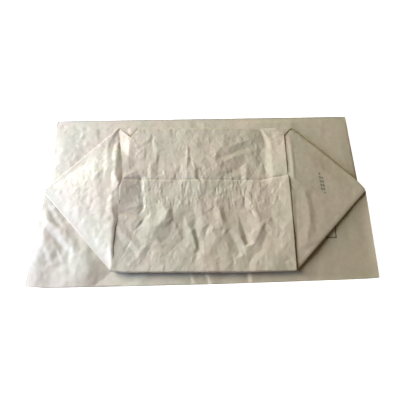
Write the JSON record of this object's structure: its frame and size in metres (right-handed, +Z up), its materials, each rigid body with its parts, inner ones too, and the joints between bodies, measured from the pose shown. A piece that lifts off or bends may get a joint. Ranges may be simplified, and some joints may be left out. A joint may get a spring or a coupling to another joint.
{
  "type": "paper sack",
  "caption": "Empty kraft paper sack, folded flat into a packet with its pasted hexagonal block bottom on top; used to pack loose building materials.",
  "frame": {"origin": "on the floor under the middle of the folded packet", "axes": "+X along the packet's long side, from the left pocket to the right one; +Y from the near fold to the far fold; +Z up, out of the pasted bottom"},
  "size_m": [0.607, 0.3434, 0.0175],
  "materials": {
    "kraft_paper": "matte, creased"
  },
  "bodies": {
    "root": {"paper_sack": "kraft_paper"}
  },
  "joints": []
}
